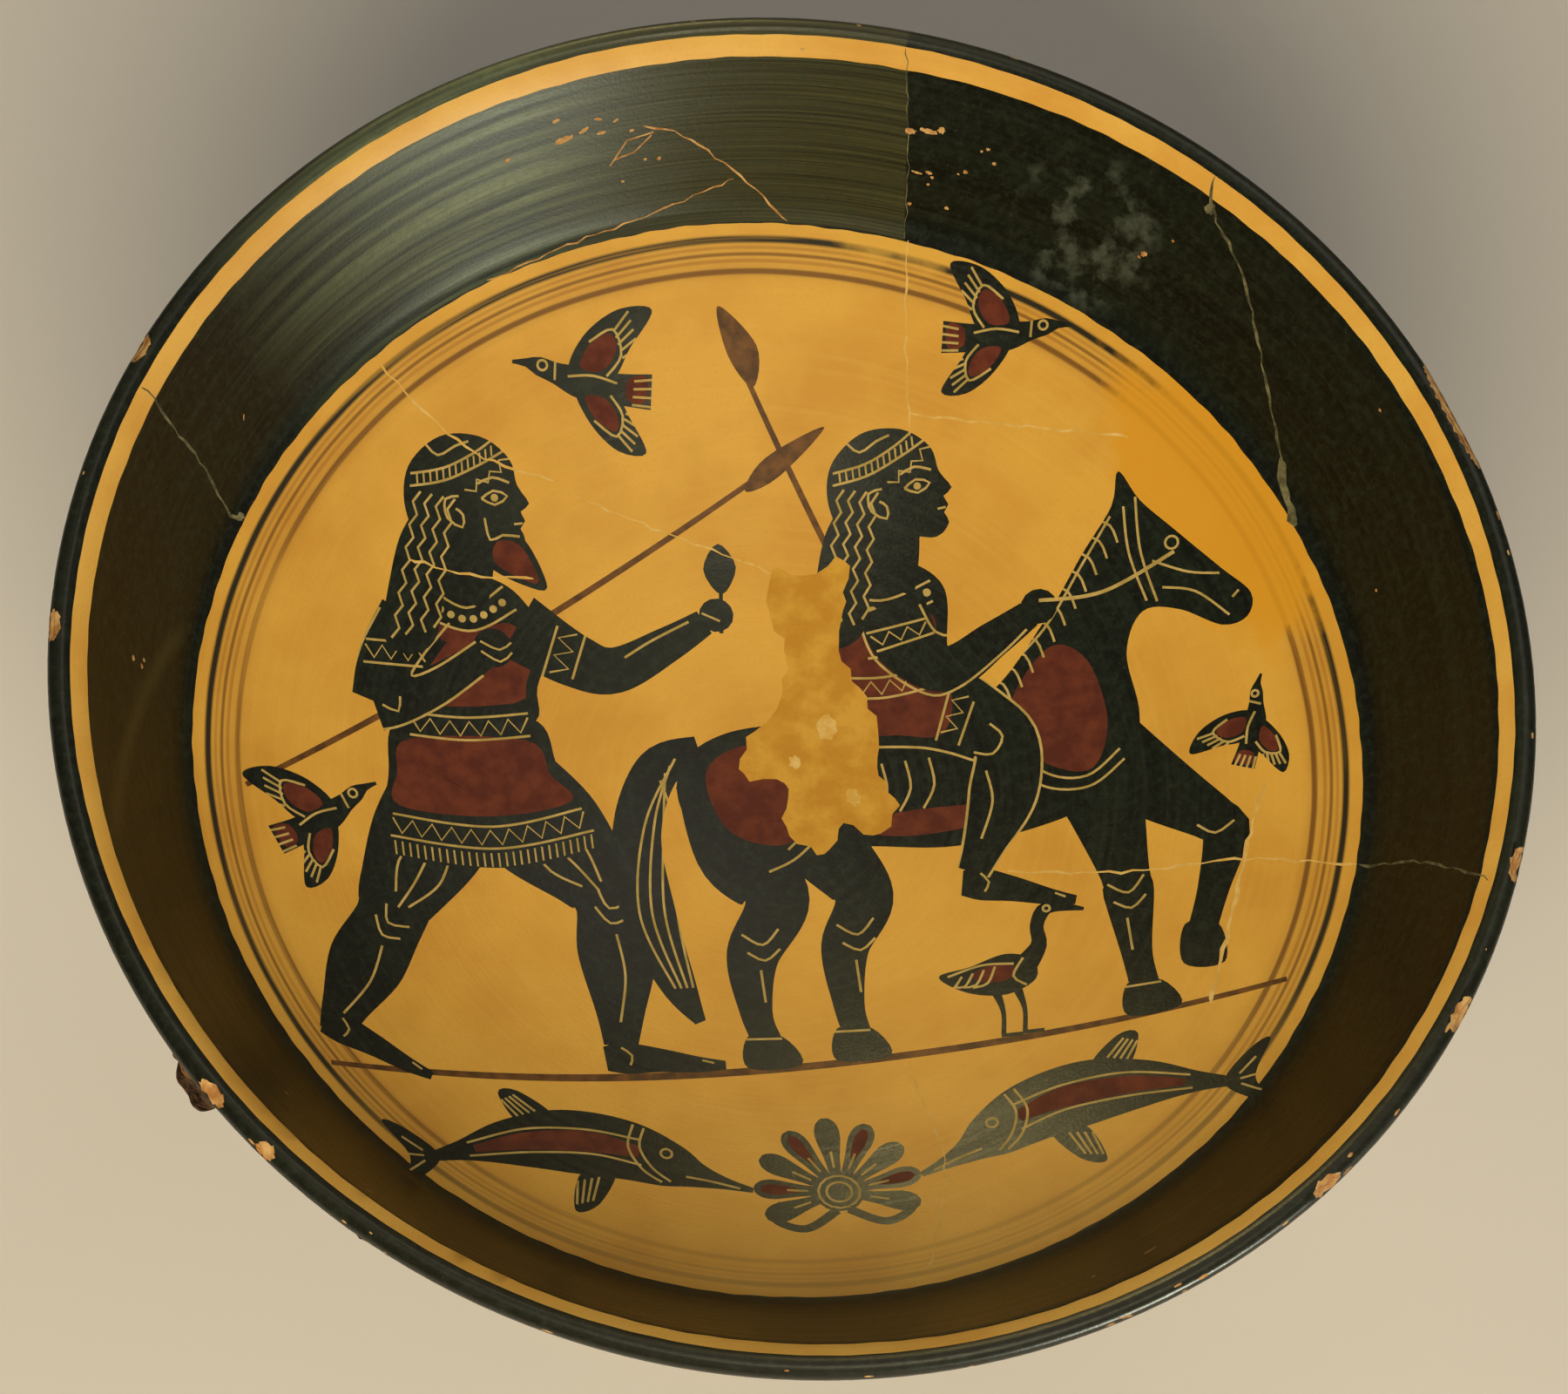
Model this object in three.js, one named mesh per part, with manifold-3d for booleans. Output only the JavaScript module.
// A drinking cup of fired clay on a high stem: a wide bowl with a lip set off from it, and a broad foot.
// It is one solid: the bowl, stem, foot and handles were made apart, joined with slip and fired as one.
// Both loop handles are broken away. Their four roots are left on the bowl, just under the lip.
// The rim is chipped where the gloss has come off with a flake of clay.
// Millimetres, +Z up. The origin is the middle of the foot, on the surface that the cup stands on.
// +Y is the top of the picture painted inside the bowl. Angles go round from +X towards +Y.
import * as THREE from "three";
import { mergeVertices } from "three/addons/utils/BufferGeometryUtils.js";
import Module from "manifold-3d";

// The cup as a whole
const RIM_RADIUS = 97;
const CUP_HEIGHT = 126;
const TURNS = 64; // flat facets round the cup

// The bowl under the lip: its inside is the cap of a ball, as wide and deep as this
const BOWL_RADIUS = 78.3;
const BOWL_DEPTH = 45; // from the rim
const BOWL_EDGE_DEPTH = 24.9;
const BOWL_WALL = 4.2;

// The lip: it rises steeply from the bowl's edge and ends in a rounded rim
const LIP_FOOT = new THREE.Vector2(81.2, -21.8);
const LIP_TOP = new THREE.Vector2(92, -2.2);
const LIP_WALL = 3.3;
const RIM_ROUND = 1.4;
const SHOULDER_STEP = 1.3; // how far the bowl stands out past the lip's foot

// The stem and the foot
const STEM_RADIUS = 8.6;
const STEM_JOIN_RADIUS = 25;
const STEM_TOP = -58;
const FOOT_RADIUS = 43;
const FOOT_EDGE = 5.4;
const REST_INNER_RADIUS = 35.5;
const HOLLOW_TOP = 42; // the hollow under the foot runs up into the stem

// The handle roots: degrees round the cup, and how far from the axis each one is broken off
const ROOTS = [
  [205.5, 92.4],
  [227, 88.4],
  [25.5, 88.8],
  [47, 88.2],
];
const ROOT_RADIUS = 4.8;
const ROOT_FLARE = 1.8;
const ROOT_DROP = 28; // below the rim
const ROOT_START = 62; // inside the bowl's wall

// The rim's chips: degrees round the cup, half length and depth
const CHIPS = [
  [171.7, 2.2, 0.9],
  [146.8, 2.6, 0.9],
  [16.8, 8.4, 0.7],
  [337.4, 2.6, 1.1],
  [323.9, 3.2, 0.8],
  [306, 2.4, 0.8],
  [212.6, 2.6, 0.8],
  [218.6, 1.6, 0.6],
];

const point = (r, z) => new THREE.Vector2(r, z);
const degrees = THREE.MathUtils.degToRad;

// The ball that the bowl's inside is a cap of, and the ball of its outside, about one middle
const CAP_RISE = BOWL_DEPTH - BOWL_EDGE_DEPTH;
const INNER_BALL = (BOWL_RADIUS ** 2 + CAP_RISE ** 2) / (2 * CAP_RISE);
const OUTER_BALL = INNER_BALL + BOWL_WALL;
const BALL_MIDDLE = INNER_BALL - BOWL_DEPTH;

const ballHeight = (ball, r) => BALL_MIDDLE - Math.sqrt(ball * ball - r * r);
const ballReach = (ball, z) => Math.sqrt(ball * ball - (BALL_MIDDLE - z) ** 2);

// Points of a ball's section at even steps out from the axis.
function cap(ball, from, to, steps) {
  return Array.from({ length: steps + 1 }, (_, i) => {
    const r = from + ((to - from) * i) / steps;
    return point(r, ballHeight(ball, r));
  });
}

// A smooth bend from one point to another, drawn towards a third.
const bend = (from, pull, to, steps) => new THREE.QuadraticBezierCurve(from, pull, to).getPoints(steps);

// The cup's section: from the middle of the bowl's floor, over the rim, to the top of the hollow under the foot.
// Heights in it are counted up from the rim, so they are below nought.
function cupSection() {
  const along = LIP_TOP.clone().sub(LIP_FOOT).normalize();
  const outwards = point(along.y, -along.x);
  const outside = (p) => p.clone().addScaledVector(outwards, LIP_WALL);

  const floor = cap(INNER_BALL, 0, BOWL_RADIUS, 11);
  const inner = bend(floor.at(-1), point(BOWL_RADIUS + 1.6, 1 - BOWL_EDGE_DEPTH), LIP_FOOT, 2);
  const lip = [LIP_FOOT.clone().lerp(LIP_TOP, 0.5), LIP_TOP];
  const rim = [
    point(94.4, -0.3),
    point(RIM_RADIUS - RIM_ROUND, 0),
    point(RIM_RADIUS - 0.4, -0.4),
    point(RIM_RADIUS, -RIM_ROUND),
    point(RIM_RADIUS - 0.3, -RIM_ROUND * 1.9),
  ];
  const lipBack = [0.12, 0.5].map((down) => outside(LIP_TOP.clone().lerp(LIP_FOOT, down)));
  const lipFoot = outside(LIP_FOOT);
  const shoulder = point(lipFoot.x + SHOULDER_STEP, lipFoot.y - 1.1);
  const belly = shoulder.y - 1.6;
  const outer = cap(OUTER_BALL, ballReach(OUTER_BALL, belly), STEM_JOIN_RADIUS, 7);
  const throatPull = point(STEM_RADIUS + 3.4, -BOWL_DEPTH - BOWL_WALL - 2);
  const throat = bend(outer.at(-1), throatPull, point(STEM_RADIUS + 1, STEM_TOP), 4);
  const ground = -CUP_HEIGHT;
  const stem = new THREE.SplineCurve([
    point(STEM_RADIUS + 1, STEM_TOP),
    point(STEM_RADIUS, STEM_TOP - 14),
    point(STEM_RADIUS + 0.4, ground + 38),
    point(STEM_RADIUS + 3.4, ground + 23),
    point(STEM_RADIUS + 14, ground + 13.4),
    point(FOOT_RADIUS - 4, ground + FOOT_EDGE + 2.6),
  ]).getPoints(9);
  const foot = [
    point(FOOT_RADIUS - 1, ground + FOOT_EDGE + 0.9),
    point(FOOT_RADIUS, ground + FOOT_EDGE - 0.6),
    point(FOOT_RADIUS, ground + 1),
    point(FOOT_RADIUS - 1, ground),
    point(REST_INNER_RADIUS, ground),
    point(REST_INNER_RADIUS - 1.2, ground + 1.2),
  ];
  const hollow = new THREE.SplineCurve([
    point(REST_INNER_RADIUS - 4, ground + 2.6),
    point(STEM_RADIUS + 11, ground + 6.8),
    point(STEM_RADIUS + 1, ground + 13.4),
    point(STEM_RADIUS - 3.6, ground + 26),
    point(STEM_RADIUS - 4.6, ground + HOLLOW_TOP - 2),
  ]).getPoints(7);
  return [
    ...floor,
    ...inner.slice(1),
    ...lip,
    ...rim,
    ...lipBack,
    lipFoot,
    shoulder,
    ...outer,
    ...throat.slice(1),
    ...stem.slice(1),
    ...foot,
    ...hollow,
    point(0, ground + HOLLOW_TOP),
  ];
}

// A plug that fills the bowl to the middle of its wall, to cut off what would stick through into the bowl.
function plugSection() {
  const ball = INNER_BALL + BOWL_WALL / 2;
  const top = LIP_FOOT.y;
  return [point(0, 0), point(LIP_TOP.x, 0), ...cap(ball, ballReach(ball, top), 0, 12)];
}

const wasm = await Module();
wasm.setup();

// A closed three.js geometry as a solid that can be joined and cut.
function solid(geometry) {
  const bare = geometry.clone();
  bare.deleteAttribute("normal");
  bare.deleteAttribute("uv");
  const merged = mergeVertices(bare, 1e-4);
  const corners = merged.index.array;
  const triangles = [];
  for (let i = 0; i < corners.length; i += 3) {
    const [a, b, c] = corners.slice(i, i + 3);
    if (a !== b && b !== c && c !== a) triangles.push(a, b, c);
  }
  const vertProperties = new Float32Array(merged.attributes.position.array);
  const triVerts = new Uint32Array(triangles);
  return new wasm.Manifold(new wasm.Mesh({ numProp: 3, vertProperties, triVerts }));
}

// A section turned about the cup's axis, at its height above the ground.
function turned(section) {
  const faceOut = [...section].reverse();
  return new THREE.LatheGeometry(faceOut, TURNS).rotateX(Math.PI / 2).translate(0, 0, CUP_HEIGHT);
}

// What is left of one handle: a round stump that widens to the wall and ends in a rough break.
function handleRoot([angle, reach]) {
  const length = reach - ROOT_START;
  const stump = new THREE.CylinderGeometry(ROOT_RADIUS, ROOT_RADIUS + ROOT_FLARE, length, 14, 2);
  const places = stump.attributes.position;
  for (let i = 0; i < places.count; i++) {
    if (places.getY(i) < length / 2 - 0.01) continue;
    const turn = Math.atan2(places.getZ(i), places.getX(i));
    const out = Math.hypot(places.getX(i), places.getZ(i)) / ROOT_RADIUS;
    const rough = 0.6 * Math.sin(2 * turn + angle) + 0.4 * Math.cos(5 * turn + angle);
    places.setY(i, places.getY(i) + out * rough - 0.5 * (1 - out));
  }
  return stump
    .translate(0, length / 2 + ROOT_START, 0)
    .rotateZ(-Math.PI / 2)
    .translate(0, 0, CUP_HEIGHT - ROOT_DROP)
    .rotateZ(degrees(angle));
}

// One chip: a long flat bite out of the rim's outer edge.
function chip([angle, halfLength, depth]) {
  return new THREE.IcosahedronGeometry(1, 1)
    .scale(depth, halfLength, depth * 1.5)
    .translate(RIM_RADIUS, 0, CUP_HEIGHT - RIM_ROUND * 0.6)
    .rotateZ(degrees(angle));
}

// The whole cup, with its roots joined on and its chips cut out.
function cupSolid() {
  const plug = solid(turned(plugSection()));
  let cup = solid(turned(cupSection()));
  for (const root of ROOTS) cup = cup.add(solid(handleRoot(root)).subtract(plug));
  for (const bite of CHIPS) cup = cup.subtract(solid(chip(bite)));
  return cup;
}

// A solid as a three.js geometry again.
function geometryOf(body) {
  const { numVert, numProp, vertProperties, triVerts } = body.getMesh();
  const places = new Float32Array(numVert * 3);
  for (let i = 0; i < numVert; i++) {
    places.set(vertProperties.subarray(i * numProp, i * numProp + 3), i * 3);
  }
  return new THREE.BufferGeometry()
    .setAttribute("position", new THREE.BufferAttribute(places, 3))
    .setIndex(new THREE.BufferAttribute(triVerts, 1));
}

const blackGloss = new THREE.MeshStandardMaterial({ color: 0x20261c, roughness: 0.36, metalness: 0 });
const cup = new THREE.Mesh(geometryOf(cupSolid()), blackGloss);
cup.name = "cup";

const kylix = new THREE.Group();
kylix.add(cup);

export default kylix;
